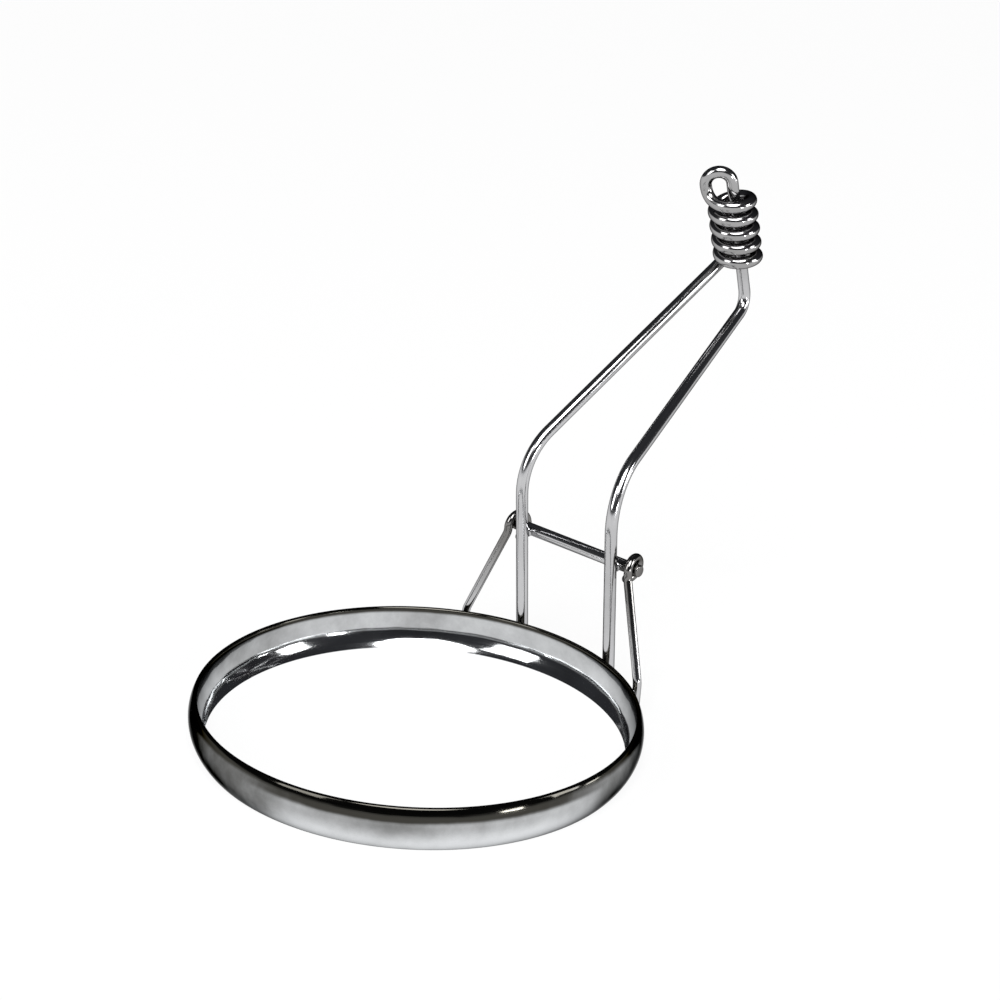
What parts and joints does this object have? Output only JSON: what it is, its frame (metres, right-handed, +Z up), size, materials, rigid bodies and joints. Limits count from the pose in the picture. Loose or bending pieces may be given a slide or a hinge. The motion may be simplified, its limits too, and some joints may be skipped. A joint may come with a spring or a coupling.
{
  "type": "egg ring with folding handle",
  "caption": "Round bulged steel ring for frying an egg, with a wire handle that folds over the ring on a pivot rod and ends in an upright coiled grip with a loop.",
  "frame": {"origin": "under the middle of the whole object's box, on the surface that the ring stands on", "axes": "+X points from the ring towards the handle's grip, +Y lies along the pivot rod towards the leg that winds into the coil, +Z is up"},
  "size_m": [0.145, 0.09, 0.1054],
  "materials": {
    "band_steel": "polished bright, mirror-like, with fine handling marks",
    "wire_steel": "bright drawn wire, polished, with faint draw lines along it"
  },
  "bodies": {
    "ring": {"ring_band": "band_steel", "left_post": "wire_steel", "right_post": "wire_steel"},
    "handle": {"pivot_rod": "wire_steel", "handle_wire": "wire_steel"}
  },
  "joints": [
    {"name": "handle_fold", "type": "hinge", "parent": "ring", "child": "handle", "pos_m": [0.01776, 0, 0.0296], "axis": [0, -1, 0], "range_deg": [0, 137]}
  ]
}
